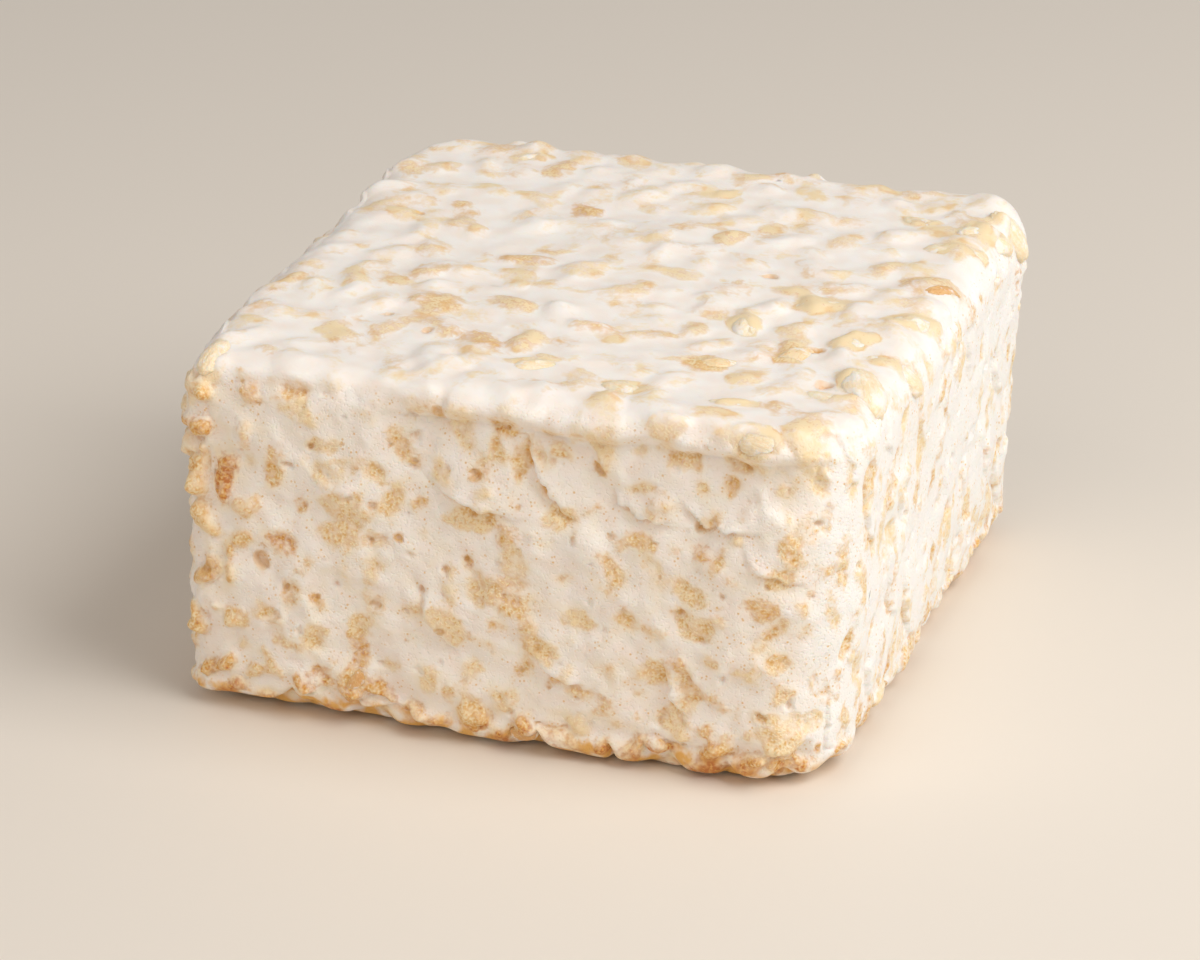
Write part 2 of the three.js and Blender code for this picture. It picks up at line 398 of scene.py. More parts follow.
def height_over(grain, spots, normals):
    """How far each grain's skin lies above each spot of the plain block, along the normal there."""
    axes, half = grain["axes"], grain["half"]
    start = (spots - grain["centre"]) @ axes / half
    way = normals @ axes / half
    a = np.sum(way * way, axis=1)
    b = np.sum(way * start, axis=1)
    inside = b * b - a * (np.sum(start * start, axis=1) - 1)
    height = (-b + np.sign(inside) * np.sqrt(abs(inside))) / a
    return grain["rise"] - (grain["rise"] - height) * grain["pressed"]


corner_from = quads.ravel()
corner_to = np.roll(quads, -1, axis=1).ravel()
corners_met = np.bincount(corner_from)


def even_out(values, times):
    """Draws every point's value towards those of the points beside it."""
    for _ in range(times):
        beside = np.bincount(corner_from, weights=values[corner_to]) / corners_met
        values = (values + beside) / 2
    return values


warp = np.stack(
    [
        WARP * unevenness(points, 2.6, seed) + 0.6 * WARP * unevenness(points, 0.95, seed + 3)
        for seed in (21, 22, 23)
    ],
    axis=1,
)
swell = np.ones(len(points))
skin = np.full(len(points), -9.0)  # height of the highest grain's skin
tone = np.zeros(len(points))
cap = np.zeros(len(points))
dent = np.zeros(len(points))
lengthwise = np.zeros((len(points), 3))
for one in grains:
    near = near_to(one["centre"], one["half"].max() + 2.2)
    spots = points[near] + warp[near]
    height = height_over(one, spots, normals[near])
    swell[near] += np.exp(np.minimum((height + one["cover"]) / FILM_SOFTNESS, 20))
    higher = height > skin[near]
    winner = near[higher]
    local = (spots[higher] - one["centre"]) @ one["axes"]
    skin[winner] = height[higher]
    tone[winner] = one["tone"]
    dent[winner] = one["dent"]
    crest = np.clip(1 - np.sum((local / one["half"])[:, :2] ** 2, axis=1), 0, 1)
    crest[cut[winner] > 0.5] = smooth(0.1, 0.7, height[higher][cut[winner] > 0.5])
    cap[winner] = one["cap"] * crest
    lengthwise[winner] = local

# On top: a film drawn even by its own tension, with grains showing through it and out of it.
streaks = 0.3 * unevenness(points * (0.55, 1, 1), 1.9, 24) + 0.25 * unevenness(points, 4.5, 25)
film = even_out(FILM_SOFTNESS * np.log(swell), TENSION)
wrinkled = skin + 0.08 * unevenness(points, 1.0, 26) + 0.03 * unevenness(points, 0.5, 27)
above = STICKING_OUT * np.tanh((wrinkled - film) / STICKING_OUT)
puffs = 0.1 * unevenness(points, 3.1, 33) + 0.06 * unevenness(points, 1.4, 37)
top_height = film + np.maximum(above, 0) + puffs
rounding = smooth(0.98, 0.85, normals[:, 2])
top_film = top_height - skin + even_out(cap, 3) + streaks
top_film += rounding * (0.45 + 0.6 * unevenness(points, 4, 52))

# On the sides: a cut that is dragged into sheets, with the cut grains a little out of level.
SHEET = 0.6  # thickness of the sheets that the knife leaves
SIDE_RELIEF = ((0.5, 6.5, 38), (0.4, 3.4, 34), (0.2, 1.5, 35), (0.1, 0.75, 36))  # height, size, seed
torn = smooth(-25, -34, points[:, 0]) * (0.5 + 0.5 * smooth(0, -1, normals[:, 1]))
torn = np.maximum(torn, smooth(7, 3, points[:, 2]))
ragged = smooth(0.25, 0.7, unevenness(points, 16, 30)) * smooth(-30, -20, points[:, 1])
torn = np.maximum(torn, ragged) * (1 - 0.7 * on_right)
sunk = even_out(np.where(skin > 0.05, -dent, 0.0), 4)
bulge = np.clip(even_out(skin, 5), -0.6, 1.0)
sheets = smooth(-0.16, 0.16, unevenness(points, 5.5, 43) + 0.25 * unevenness(points, 1.6, 44)) - 0.5
sheets *= smooth(-0.1, 0.5, unevenness(points, 9, 45))
side_height = sunk + SHEET * even_out(sheets, 2)
# A thin rim of film round each cut grain, its rough inside, and whole grains where it is torn.
side_height += even_out(0.16 * np.exp(-(((skin - 0.12) / 0.2) ** 2)), 1)
side_height += 0.3 * np.clip(skin, 0, 0.5) * unevenness(points, 1.1, 50)
side_height += torn * (1.1 * bulge + 0.5 * unevenness(points, 2.3, 46))
for height, size, seed in SIDE_RELIEF:
    side_height += height * (1 - 0.6 * on_right) * unevenness(points, size, seed)

surface = top_height * (1 - cut) + side_height * cut
tone += 0.25 * smooth(-15, -32, points[:, 0]) * cut
side_film = even_out(cap, 2) - even_out(np.clip(skin, -0.8, 0.6), 3)
side_film += (0.45 * unevenness(points, 13, 55) - 0.1) * on_right
side_film += 0.3 * smooth(0.1, 0.5, normals[:, 2])
thickness = np.clip(even_out(top_film, 2) * (1 - cut) + side_film * cut, -0.8, 1.8)
slow = 0.35 * unevenness(points, 17, 31) + 0.2 * unevenness(points, 8, 32)

# Torn flaps: the upper side of each stands proud and overhangs a hollow below it.
# Each line is where its middle is along the front and up it, its heading, length and step.
FRONT_FLAPS = (
    (-4, 28.5, -15, 9, 1.1),
    (4, 32.5, -58, 9, 1.1),
    (14.5, 30.3, -28, 6, 0.9),
    (23.5, 30, -14, 7, 1.1),
    (29.5, 25.4, -30, 6.5, 0.75),
    (6, 10.4, -32, 8, 1.0),
    (19, 9.6, -66, 7, 0.8),
    (-8.5, 14.6, -62, 8, 0.8),
)
FLAP_LIFT = 3.2  # length over which a flap settles back behind its torn edge
FLAP_HOLLOW = 2.4  # and over which the hollow below it fades
FLAP_GAP = 9  # least distance between the middles of two flaps at random


def tear(spot, normal, heading, length, step):
    """Raises the flap above a torn edge and hollows what lies below it."""
    right = np.cross((0.0, 0.0, 1.0), normal)
    right /= np.linalg.norm(right)
    up = np.cross(normal, right)
    heading = math.radians(heading)
    along = right * math.cos(heading) + up * math.sin(heading)
    across = up * math.cos(heading) - right * math.sin(heading)
    near = near_to(spot, length + 4)
    near = near[normals[near] @ normal > 0.6]
    offset = points[near] - spot + 0.8 * warp[near]
    u = offset @ along / (length / 2)
    v = offset @ across - 0.8 * u * u + 0.3
    ends = np.exp(-(u**2) ** 1.5)
    edge = smooth(-0.25, 0.25, v)
    flap = 0.5 * edge * np.exp(-np.maximum(v, 0) / FLAP_LIFT)
    hollow = 0.5 * (1 - edge) * np.exp(np.minimum(v, 0) / FLAP_HOLLOW)
    surface[near] += 1.3 * step * ends * (flap - hollow)
    thickness[near] += 0.5 * ends * (flap - 0.6 * hollow)


front_normal = np.array([0.0, -1.0, 0.0])
for x, z, heading, length, step in FRONT_FLAPS:
    tear(np.array([x, -DEPTH / 2, z]), front_normal, heading, length, step)
other_sides = order[(cut[order] > 0.99) & (normals[order, 1] > -0.6) & (points[order, 2] > 6)]
for index in spread(other_sides, FLAP_GAP):
    flat = normals[index] * (1, 1, 0)
    flat /= np.linalg.norm(flat)
    to_right = on_right[index]
    heading = rng.normal(-35 - 35 * to_right, 22 - 12 * to_right)
    tear(points[index], flat, heading, rng.uniform(5, 10), rng.uniform(0.4, 1) - 0.3 * to_right)

# Bubbles cut open by the knife.
BUBBLE_GAP = 2.8  # least distance between the middles of two bubbles at random
BROWNED_BUBBLES = (  # how far along the front and up it, radius, and how brown
    (-27.8, 18.6, 0.85, 0.7),
    (-12, 23.6, 0.6, 1.0),
    (-31.2, 16, 0.4, 0.9),
    (-34.3, 16.8, 0.6, 0.8),
    (-21.3, 15.2, 0.4, 0.9),
    (-10.6, 32.4, 0.4, 0.6),
    (31.6, 35.4, 0.35, 1.0),
    (26, 36.8, 0.55, 0.8),
    (21.3, 29.8, 0.6, 0.5),
    (11.7, 27, 0.35, 0.6),
    (5, 34.5, 0.45, 0.5),
    (24, 22.1, 0.5, 0.4),
    (-3.8, 27.3, 0.35, 0.9),
    (3.8, 12.9, 0.4, 0.7),
)
# Gaps between grains on top: bowls whose brown inside is painted shade in these small holes, over the
# grains' tan.
GAPS_ON_TOP = (  # between grains: across and along the top, and radius
    (30.6, -24.5, 1.0),
    (16, 4.5, 0.7),
    (26.2, -15.5, 0.8),
    (-14.5, -24, 0.65),
    (-20, -20.5, 0.6),
    (-28, 10, 0.65),
)
GAP_SHADE_BROWNNESS = 0.65  # how brown those gaps are
browned_and_gap_shade = np.zeros(len(points))


def burst(spot, radius, brown):
    """Hollows out a bubble with a thin raised rim, its inside painted brown: browning in a bubble,
    painted shade in a gap on top.
    """
    near = near_to(spot, 2.5 * radius)
    offset = points[near] - spot + 0.9 * radius * warp[near]
    reach = np.linalg.norm(offset, axis=1) / radius
    bowl = np.sqrt(np.clip(1 - reach**2, 0, 1))
    surface[near] -= 0.8 * radius * bowl - 0.06 * np.exp(-(((reach - 1.15) / 0.2) ** 2))
    ring = smooth(1.4, 0.95, reach) * (1 - 0.65 * smooth(0.85, 0.4, reach))
    browned_and_gap_shade[near] = np.maximum(browned_and_gap_shade[near], brown * ring)


for x, z, radius, brown in BROWNED_BUBBLES:
    burst(np.array([x, -DEPTH / 2, z]), radius, brown)
for x, y, radius in GAPS_ON_TOP:
    burst(np.array([x, y, HEIGHT]), radius, GAP_SHADE_BROWNNESS)
for index in spread(order[(cut[order] > 0.9) & (points[order, 2] > 1.5)], BUBBLE_GAP):
    browning = rng.choice((0, 0, 0, 0, 0, 0.8)) * (normals[index, 0] < 0.5)
    burst(points[index], 0.2 + 0.5 * rng.random() ** 3, browning)

# The lip of the pressed top hangs over the front, with a crease and a long hollow under it.
LIP = 0.75  # how far it hangs over
LIP_EDGE = HEIGHT - 3.1  # the height of its lower edge
LIP_ENDS = (-13, 33)  # where it starts and stops along the front
LIP_HOLLOW = 1.5  # depth of the hollow under it
HOLLOW_END = 6.5  # height over which the hollow fades
at_front = smooth(DEPTH / 2 - 8, DEPTH / 2 - 2, -points[:, 1])
below = LIP_EDGE + 0.8 * unevenness(points * (1, 0, 0), 5, 47) - points[:, 2]
lip_length = smooth(LIP_ENDS[0] - 3, LIP_ENDS[0] + 5, points[:, 0])
lip_length *= smooth(-LIP_ENDS[1] - 4.5, -LIP_ENDS[1] + 4.5, -points[:, 0])
lip = LIP * np.exp(-(((below + 1.6) / 1.9) ** 2)) * smooth(0.3, -0.5, below)
lip -= LIP_HOLLOW * smooth(-0.35, 0.75, below) * np.exp(-np.maximum(below, 0) / HOLLOW_END)
# How deep a spot lies in a crease, below what is round it. The finish paints shade there: creases are
# painted darker and golden.
creases = np.clip((even_out(surface, 24) - surface) / 0.35, -1, 1.5)
surface += at_front * lip_length * lip

# Along the foot the block curls up a little off the table, and it is notched between knobs.
foot = smooth(5, 0.5, points[:, 2])
outline = distance_to_outline(points)
notches = (1 - abs(unevenness(points * (1, 1, 0.5), 3.4, 41))) ** 4 * smooth(-4, -1, outline)
knobs = foot * (1 - 0.6 * on_right)
# How yellow the marshmallow is: the most along the foot and where it is torn, the least on the right,
# whose paler, cooler white is painted light for the side the key light falls on.
warmth = (0.55 + 0.5 * foot + 0.4 * torn) * (1 - 0.85 * on_right)
inward = knobs * (1.1 * notches - 0.5)
inward[on_base] *= smooth(-4, -1, outline[on_base])
surface = off_table * (surface + slow)

shaped = points + normals * surface[:, None] - uphill(distance_to_outline, points) * inward[:, None]
curl = foot * smooth(-7, -0.5, outline)
lift = 0.7 + 0.6 * unevenness(points, 7, 48) + 1.2 * notches
shaped[:, 2] = np.maximum(shaped[:, 2], 0) + curl * np.maximum(lift, 0)


def new_mesh(name, vertices, faces, fields):
    """A mesh in metres, from vertices in millimetres, with a value at each vertex for each field."""
    mesh = bpy.data.meshes.new(name)
    mesh.vertices.add(len(vertices))
    mesh.vertices.foreach_set("co", (vertices * MM).ravel())
    mesh.loops.add(faces.size)
    mesh.loops.foreach_set("vertex_index", faces.ravel())
    mesh.polygons.add(len(faces))
    mesh.polygons.foreach_set("loop_start", np.arange(0, faces.size, faces.shape[1]))
    mesh.update(calc_edges=True)
    for field, values in fields.items():
        kind, slot = ("FLOAT", "value") if values.ndim == 1 else ("FLOAT_VECTOR", "vector")
        attribute = mesh.attributes.new(field, kind, "POINT")
        attribute.data.foreach_set(slot, values.astype(np.float32).ravel())
    mesh.polygons.foreach_set("use_smooth", np.ones(len(faces), bool))
    return mesh


FEWER_FACES = 0.29  # share of the fine grid's triangles that are kept, most where it is rough
block_mesh = new_mesh(
    "marshmallow_block",
    shaped,
    quads,
    {
        "film": thickness,
        "tone": tone,
        "cut": cut,
        "brown": browned_and_gap_shade,
        "lengthwise": lengthwise,
        "foot": foot,
        "torn": torn,
        "crease": creases,
        "warmth": np.clip(warmth, 0, 1.2),
    },
)
block = bpy.data.objects.new("marshmallow_block", block_mesh)
bpy.context.scene.collection.objects.link(block)
fewer = block.modifiers.new("fewer faces", "DECIMATE")
fewer.ratio = FEWER_FACES
bpy.context.view_layer.update()
fine = bpy.data.meshes.new_from_object(block.evaluated_get(bpy.context.evaluated_depsgraph_get()))
block.modifiers.clear()
block.data = fine


class Value:
    """A shader socket that can be added, multiplied and so on like a number."""

    def __init__(self, socket):
        self.socket = socket

    def combine(self, operation, first, second):
        node = self.socket.id_data.nodes.new("ShaderNodeMath")
        node.operation = operation
        for slot, item in zip(node.inputs, (first, second)):
            connect(item, slot)
        return Value(node.outputs[0])

    def __add__(self, other):
        return self.combine("ADD", self, other)

    def __radd__(self, other):
        return self.combine("ADD", other, self)

    def __sub__(self, other):
        return self.combine("SUBTRACT", self, other)

    def __rsub__(self, other):
        return self.combine("SUBTRACT", other, self)

    def __mul__(self, other):
        return self.combine("MULTIPLY", self, other)

    def __rmul__(self, other):
        return self.combine("MULTIPLY", other, self)

    def __abs__(self):
        return self.combine("ABSOLUTE", self, 0)


def connect(item, slot):
    """Links a socket to slot, or sets slot to a plain value."""
    if isinstance(item, Value):
        slot.id_data.links.new(item.socket, slot)
    else:
        slot.default_value = item


def new_node(tree, kind, settings, output, inputs):
    """Adds a node, with its inputs named as in the node or i0, i1 and so on by number."""
    node = tree.nodes.new(kind)
    for key, value in settings.items():
        setattr(node, key, value)
    for slot, item in inputs.items():
        numbered = slot[0] == "i" and slot[1:].isdigit()
        connect(item, node.inputs[int(slot[1:]) if numbered else slot.replace("_", " ")])
    return Value(node.outputs[output])


class Finish:
    """A material, and one way to add each node that feeds its Principled shader."""

    def __init__(self, name, **constants):
        self.material = bpy.data.materials.new(name)
        self.material.use_nodes = True
        self.tree = self.material.node_tree
        self.shader = self.tree.nodes["Principled BSDF"]
        for slot, value in constants.items():
            self.shader.inputs[slot.replace("_", " ")].default_value = value
        self.place = self.node("TexCoord", output="Object")

    def node(self, kind, settings={}, output=0, **inputs):
        return new_node(self.tree, "ShaderNode" + kind, settings, output, inputs)

    def field(self, name, vector=False):
        return self.node("Attribute", {"attribute_name": name}, "Vector" if vector else "Fac")

    def grooved(self, stretch):
        """Places for noise that runs along each grain, from where each spot is on its grain."""
        field = self.field("lengthwise", True)
        return self.node("VectorMath", {"operation": "MULTIPLY"}, i0=field, i1=stretch)

    def noise(self, size, detail=2.0, at=None):
        """Cloudy noise, mostly from -1 to 1, with blobs of about size millimetres."""
        at = at or self.place
        cloud = self.node("TexNoise", Vector=at, Scale=1 / (size * MM), Detail=detail)
        return (cloud - 0.5) * 4

    def cells(self, size):
        """Distance to the nearest of many points about size millimetres apart."""
        return self.node("TexVoronoi", {}, "Distance", Vector=self.place, Scale=1 / (size * MM))

    def ramp(self, value, low, high, start=0.0, end=1.0):
        """Goes smoothly from start to end as value goes from low to high."""
        settings = {"interpolation_type": "SMOOTHSTEP"}
        return self.node("MapRange", settings, i0=value, i1=low, i2=high, i3=start, i4=end)

    def mix(self, share, first, second, blend="MIX"):
        settings = {"data_type": "RGBA", "blend_type": blend}
        first, second = (c if isinstance(c, Value) else (*c, 1) for c in (first, second))
        return self.node("Mix", settings, 2, i0=share, i6=first, i7=second)

    def feed(self, slot, item):
        connect(item, self.shader.inputs[slot])

    def bump(self, height, depth):
        """Raises the surface by depth millimetres where height is 1."""
        self.feed("Normal", self.node("Bump", Height=height, Distance=depth * MM, Strength=1.0))


def finish_marshmallow():
    """Set marshmallow with grains showing through it."""
    film_white, film_shade = (0.94, 0.885, 0.825), (0.92, 0.82, 0.73)
    film_lit_white = (0.925, 0.905, 0.865)
    cream, tan = (0.88, 0.705, 0.44), (0.77, 0.505, 0.22)
    golden, brown = (0.70, 0.36, 0.09), (0.55, 0.20, 0.055)
    wash, browned_and_gap_shade, stain_and_arc_shade = (0.89, 0.72, 0.46), (0.70, 0.38, 0.09), (0.80, 0.46, 0.13)
    along = (0.35 * MM, MM, MM)
    m = Finish(
        "marshmallow",
        Roughness=0.5,
        Subsurface_Weight=0.4,
        Subsurface_Radius=(1.0, 0.78, 0.6),
        Subsurface_Scale=0.75 * MM,
        Specular_IOR_Level=0.4,
    )
    film, tone, cut, foot = m.field("film"), m.field("tone"), m.field("cut"), m.field("foot")
    crease, torn, warmth = m.field("crease"), m.field("torn"), m.field("warmth")
    patches, cloud, grit = m.noise(2.2, 0.0), m.noise(0.9, 1.0), m.noise(0.28, 0.0)
    holes, clear = m.cells(0.6), m.noise(1.7, 0.0)
    # Where a grain shows: through the thin film on top, or cut open on the sides; it shows more in
    # creases, as painted shade.
    veil = film + patches * 0.3 + cloud * 0.3 + grit * 0.1 - crease * 0.3
    sliced = film + cloud * 0.36 + grit * 0.16
    smear = patches * 0.3 + cloud * 0.45 + grit * 0.25 - 0.35 * torn - 0.2 * crease
    inside = m.ramp(sliced, 0.55, -0.5) * m.ramp(smear, 1.1, -0.3, 0.1) * (1.05 + 0.28 * grit)
    inside = inside * m.ramp(holes, 0.3, 0.8, 1.1, 0.62)
    grooves = m.noise(0.6, 1.0, at=m.grooved(along))
    shown = m.ramp(veil + grooves * 0.25, 1.1, -0.1) * (1 - cut) + inside * cut
    # Its colour: darker at its rim and near the foot, and darker in pores and creases as painted
    # shade.
    rim = (m.ramp(veil, 0.1, 0.5) + grooves * 0.6 - 0.6) * (1 - cut) + m.ramp(sliced, -0.4, 0.1) * cut
    shade = tone + 0.15 * patches + 0.36 * cloud + (0.3 + 0.1 * cut) * grit + 0.45 * rim - 0.08
    shade = shade + 0.75 * foot * warmth + 0.15 * torn + 0.3 * crease
    shade = shade + 0.3 * m.ramp(holes, 0.3, 0.1) * cut
    rice = m.mix(m.ramp(shade, 0.2, 0.75), cream, tan)
    rice = m.mix(m.ramp(shade, 0.75, 1.25), rice, golden)
    rice = m.mix(m.ramp(shade, 1.25, 1.75), rice, brown)
    # The marshmallow's: duller here and there, and in creases, where the duller tint is painted shade;
    # dotted with painted shade in its pores, and yellower round the grains.
    greyer = m.ramp(patches * 0.5 + clear * 0.3 + crease * 0.5, -0.7, 0.9)
    # Whiter and cooler, with less of the duller tint, on the right-hand side: painted light where the
    # key light falls.
    mellow = m.ramp(warmth, 0.05, 0.5)
    white = m.mix(mellow, film_lit_white, film_white)
    white = m.mix(greyer * (0.2 + 0.8 * mellow), white, film_shade)
    # Tan dots at the pores of the cut sides, more in creases: painted shade inside the pores.
    pore_shade = m.ramp(holes, 0.3, 0.12) * m.ramp(clear + crease * 0.5, -0.2, 0.7) * cut
    white = m.mix(pore_shade * 0.85, white, tan)
    white = m.mix(m.ramp(film + patches * 0.35, 1.1, -0.3) * warmth * cut, white, wash)
    stain = m.ramp(foot + cloud * 0.25, 0.35, 1.0) * m.ramp(clear, -0.6, 0.6) * cut
    white = m.mix(stain * warmth * 0.85, white, stain_and_arc_shade)
    colour = m.mix(shown, white, rice)
    # Golden arcs round the covered grains on top, partly their skin under thin film and partly painted
    # shade where the film meets them; golden creases, painted shade; browned bubbles, and painted
    # shade in the gaps on top.
    arcs = m.ramp(abs(film + patches * 0.3 + cloud * 0.1 - 0.3), 0.35, 0.0) * m.ramp(clear, 0.0, 0.9)
    colour = m.mix(arcs * (1 - cut) * 0.45, colour, stain_and_arc_shade)
    colour = m.mix(m.ramp(crease + grit * 0.2, 0.6, 1.5) * 0.55, colour, golden)
    colour = m.mix(m.field("brown") * 0.85, colour, browned_and_gap_shade)
    m.feed("Base Color", colour)
    m.feed("Roughness", 0.46 + 0.22 * cut)
    m.bump(m.ramp(grit, -1.3, 0.0) * (0.2 + 0.8 * cut), 0.045)
    return m.material


block.data.materials.append(finish_marshmallow())
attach(block, "root")
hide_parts(SOLID)

# ---------------------------------------------------------------- the bare grains
# Grains of puffed rice that the marshmallow doesn't cover: plump, pale and wrinkled lengthwise.
# They are stuck in the block with the film drawn up round them.
GRAIN_SHAPES = 5  # different shapes of grain
PLUMP = 1.01  # how much larger a bare grain is than the lump it makes in the film
WRINKLES = 0.075  # depth of the lengthwise wrinkles, as a share of a grain's half width
DENTS = 0.2  # depth of its dents, in the same way


def grain_tree():
    """Sets one of several wrinkled grains on each point, turned and sized by the point's fields."""
    tree = bpy.data.node_groups.new("puffed grains", "GeometryNodeTree")
    sockets = {"Points": "Geometry", "Wrinkles": "Float", "Dents": "Float", "Seed": "Float"}
    sockets["Finish"] = "Material"
    for name, kind in sockets.items():
        tree.interface.new_socket(name, in_out="INPUT", socket_type="NodeSocket" + kind)
    tree.interface.new_socket("Grains", in_out="OUTPUT", socket_type="NodeSocketGeometry")
    given = {name: new_node(tree, "NodeGroupInput", {}, name, {}) for name in sockets}

    def add(kind, settings={}, output=0, **inputs):
        return new_node(tree, kind, settings, output, inputs)

    place = add("GeometryNodeInputPosition")
    grooved = add("ShaderNodeVectorMath", {"operation": "MULTIPLY"}, i0=place, i1=(0.35, 1, 1))
    shapes = tree.nodes.new("GeometryNodeJoinGeometry")
    for shape in range(GRAIN_SHAPES):
        ball = add("GeometryNodeMeshIcoSphere", Radius=1.0, Subdivisions=4)
        start = given["Seed"] + 10.0 * shape
        broad = add("ShaderNodeTexNoise", {"noise_dimensions": "4D"}, Vector=place, W=start, Scale=0.9)
        fine = add(
            "ShaderNodeTexNoise",
            {"noise_dimensions": "4D"},
            Vector=grooved,
            W=start,
            Scale=4.5,
            Detail=3.0,
        )
        out = (broad - 0.5) * given["Dents"] + (fine - 0.5) * 4 * given["Wrinkles"]
        push = add("ShaderNodeVectorMath", {"operation": "SCALE"}, i0=place, Scale=out)
        ball = add("GeometryNodeSetPosition", Geometry=ball, Offset=push)
        vector = {"data_type": "FLOAT_VECTOR", "domain": "POINT"}
        ball = add(
            "GeometryNodeStoreNamedAttribute", vector, Geometry=ball, Name="lengthwise", Value=place
        )
        one = add("GeometryNodeGeometryToInstance", Geometry=ball)
        tree.links.new(one.socket, shapes.inputs[0])
    fields = {"turn": "FLOAT_VECTOR", "half": "FLOAT_VECTOR", "pick": "INT"}
    turn, half, pick = (
        add("GeometryNodeInputNamedAttribute", {"data_type": kind}, Name=name)
        for name, kind in fields.items()
    )
    placed = add(
        "GeometryNodeInstanceOnPoints",
        Points=given["Points"],
        Instance=Value(shapes.outputs[0]),
        Pick_Instance=True,
        Instance_Index=pick,
        Rotation=turn,
        Scale=half,
    )
    real = add("GeometryNodeRealizeInstances", Geometry=placed)
    real = add("GeometryNodeSetShadeSmooth", Geometry=real)
    done = add("GeometryNodeSetMaterial", Geometry=real, Material=given["Finish"])
    connect(done, tree.nodes.new("NodeGroupOutput").inputs["Grains"])
    return tree


def grain_piece(name, chosen, tree, finish, seed):
    """One piece made of all the chosen grains."""
    rng = np.random.default_rng(seed)
    centres = np.array([one["centre"] for one in chosen])
    turns = np.array([Matrix(one["axes"].tolist()).to_euler() for one in chosen])
    halves = np.array([one["half"] for one in chosen]) * PLUMP
    fields = {"turn": turns, "half": halves * MM, "tone": np.array([one["tone"] for one in chosen])}
    mesh = new_mesh(name, centres, np.zeros((0, 3), int), fields)
    picks = mesh.attributes.new("pick", "INT", "POINT")
    picks.data.foreach_set("value", rng.integers(0, GRAIN_SHAPES, len(chosen)))
    piece = bpy.data.objects.new(name, mesh)
    bpy.context.scene.collection.objects.link(piece)
    grow = piece.modifiers.new("grains", "NODES")
    grow.node_group = tree
    values = {"Wrinkles": WRINKLES, "Dents": DENTS, "Seed": float(seed), "Finish": finish}
    for item in tree.interface.items_tree:
        if item.name in values:
            grow[item.identifier] = values[item.name]
    bpy.context.view_layer.update()
    evaluated = piece.evaluated_get(bpy.context.evaluated_depsgraph_get())
    real = bpy.data.meshes.new_from_object(evaluated)
    piece.modifiers.clear()
    piece.data = real
    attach(piece, "root")
    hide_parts(SOLID)
    return piece


def finish_grain(name, pale, veined, edge, smeared):
    """Puffed rice: finely wrinkled along the grain, with darker veins, smeared with marshmallow."""
    m = Finish(
        name,
        Roughness=0.55,
        Subsurface_Weight=0.5,
        Subsurface_Radius=(1.0, 0.75, 0.5),
        Subsurface_Scale=0.5 * MM,
    )
    cloud, grit = m.noise(1.2, 3.0), m.noise(0.3, 2.0)
    wrinkle = m.noise(0.5, 3.0, at=m.grooved((MM, 2 * MM, 1.6 * MM)))
    veins = m.ramp(abs(wrinkle), 0.35, 0.0)
    shade = m.field("tone") + 0.25 * cloud + 0.12 * grit + 0.3 * veins
    colour = m.mix(m.ramp(shade, 0.15, 0.7), pale, veined)
    colour = m.mix(m.ramp(shade, 0.7, 1.3), colour, edge)
    smear = m.ramp(m.noise(1.9) * 0.7 + cloud * 0.5 + grit * 0.2, 0.5 - smeared, 1.1 - smeared)
    m.feed("Base Color", m.mix(smear * 0.9, colour, (0.93, 0.87, 0.79)))
    m.bump(wrinkle * (1 - smear) * 0.5 + grit * 0.2, 0.08)
    return m.material


RICE_PALE, RICE_VEINED, RICE_EDGE = (0.94, 0.82, 0.63), (0.91, 0.72, 0.46), (0.83, 0.56, 0.27)
rice_finish = finish_grain("puffed rice", RICE_PALE, RICE_VEINED, RICE_EDGE, 0.55)
puffed_tree = grain_tree()
grain_piece("pale_grains", bare, puffed_tree, rice_finish, 3)

# ---------------------------------------------------------------- toasted grains
# A few grains that came out browner than the rest, whole or cut: two in the front, one on top,
# and others here and there on the left side and the back.
TOASTED = (  # a spot near the middle of each, its heading, size and how far it stands out
    ((-17.2, -DEPTH / 2, 5.2), 72, 0.7, 0.0),
    ((2.2, -DEPTH / 2, 1.6), 10, 0.5, 0.1),
    ((35, 6.4, HEIGHT), 50, 0.8, 0.1),
)
TOASTED_GAP = 24  # least distance between the middles of two at random
toasted = []
for spot, heading, size, rise in TOASTED:
    index = places.find(spot)[1]
    toasted.append(grain(index, rise, 0.5, math.radians(heading), size=size, base=shaped))
upright = abs(normals[order, 2]) < 0.3
left_and_back = order[upright & (normals[order, 1] > -0.5) & (normals[order, 0] < 0.5)]
for index in spread(left_and_back, TOASTED_GAP):
    rise, size = rng.uniform(-0.2, 0.2), rng.uniform(0.45, 0.75)
    toasted.append(grain(index, rise, 0.5, rng.uniform(0, math.pi), size=size, base=shaped))
TOASTED_PALE, TOASTED_VEINED, TOASTED_EDGE = (0.83, 0.58, 0.31), (0.74, 0.42, 0.16), (0.55, 0.23, 0.07)
toasted_finish = finish_grain("toasted rice", TOASTED_PALE, TOASTED_VEINED, TOASTED_EDGE, 0.4)
grain_piece("toasted_grains", toasted, puffed_tree, toasted_finish, 5)

# ---------------------------------------------------------------- table, light and camera
# A pale table top, one large soft light behind the right shoulder, and a weaker one in front.
TABLE_REACH = 900  # how far the table goes on from the block, to each side
corners = TABLE_REACH * np.array([(-1, -1, 0), (1, -1, 0), (1, 1, 0), (-1, 1, 0)], float)
table_mesh = new_mesh("table", corners, np.array([(0, 1, 2, 3)]), {})
table = bpy.data.objects.new("table", table_mesh)
bpy.context.scene.collection.objects.link(table)
top = Finish("pale table", Roughness=0.6)
top.feed("Base Color", (0.80, 0.73, 0.64, 1))
table.data.materials.append(top.material)

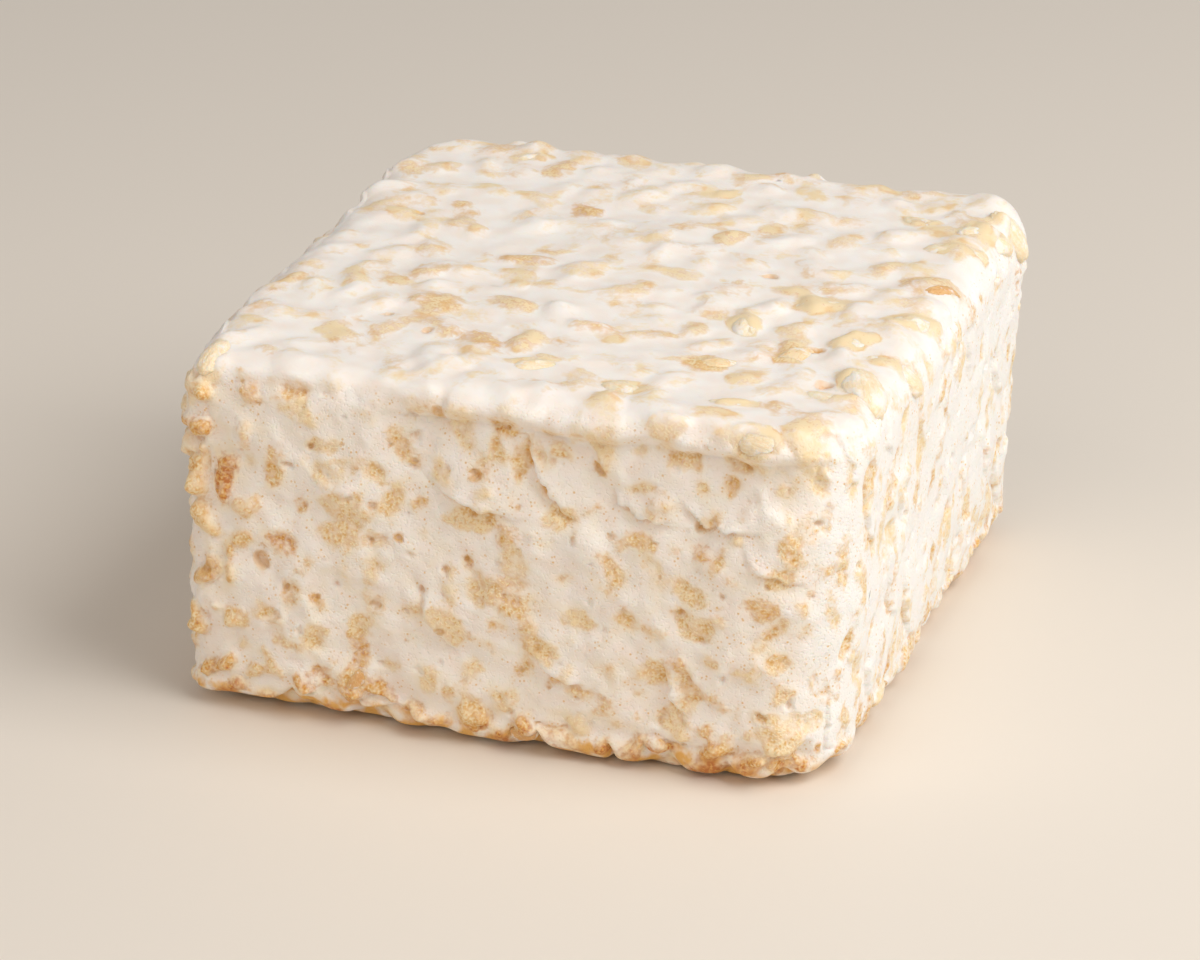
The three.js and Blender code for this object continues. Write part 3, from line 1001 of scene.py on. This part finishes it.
BLOCK_MIDDLE = Vector((0, 0, HEIGHT / 2)) * MM
LIGHTS = (  # name, direction to it as (azimuth, elevation), distance, side, brightness, colour
    ("key", (78, 46.5), 700, 540, 0.875, (0.99, 0.985, 0.985)),
    ("fill", (-20, 35), 900, 800, 0.25, (1.0, 0.885, 0.80)),
)


def direction(azimuth, elevation):
    """Unit vector: azimuth 0 is in front of the block, and 90 is to its right."""
    a, e = math.radians(azimuth), math.radians(elevation)
    return Vector((math.sin(a) * math.cos(e), -math.cos(a) * math.cos(e), math.sin(e)))


for name, towards, distance, side, brightness, colour in LIGHTS:
    light = bpy.data.lights.new(name, "AREA")
    light.size = side * MM
    light.energy = brightness * (math.pi * distance * MM) ** 2
    light.color = colour
    lamp = bpy.data.objects.new(name, light)
    way = direction(*towards)
    lamp.location = BLOCK_MIDDLE + way * distance * MM
    lamp.rotation_euler = way.to_track_quat("Z", "Y").to_euler()
    bpy.context.scene.collection.objects.link(lamp)

ROOM_COLOUR = (1.0, 0.985, 0.97, 1)
ROOM_BRIGHTNESS = 0.33
world = bpy.data.worlds.new("studio")
world.use_nodes = True
background = world.node_tree.nodes["Background"]
background.inputs["Color"].default_value = ROOM_COLOUR
background.inputs["Strength"].default_value = ROOM_BRIGHTNESS
bpy.context.scene.world = world
bpy.context.scene.view_settings.view_transform = "Standard"

CAMERA = Vector((158.44, -500.45, 238.52)) * MM
YAW, PITCH, ROLL = (math.radians(angle) for angle in (-17.811, 22.966, 0.801))
LENS, SENSOR_WIDTH = 150.8, 36
NEAREST = 10 * MM  # the least distance at which it sees anything
camera_data = bpy.data.cameras.new("camera")
camera_data.sensor_width = SENSOR_WIDTH
camera_data.lens = LENS
camera_data.clip_start = NEAREST
camera = bpy.data.objects.new("camera", camera_data)
forward = Vector((math.sin(YAW) * math.cos(PITCH), math.cos(YAW) * math.cos(PITCH), -math.sin(PITCH)))
sideways = Vector((math.cos(YAW), -math.sin(YAW), 0))
upward = sideways.cross(forward)
right = sideways * math.cos(ROLL) + upward * math.sin(ROLL)
upward = upward * math.cos(ROLL) - sideways * math.sin(ROLL)
aim = Matrix((right, upward, -forward)).transposed().to_4x4()
camera.matrix_world = Matrix.Translation(CAMERA) @ aim
bpy.context.scene.collection.objects.link(camera)
bpy.context.scene.camera = camera
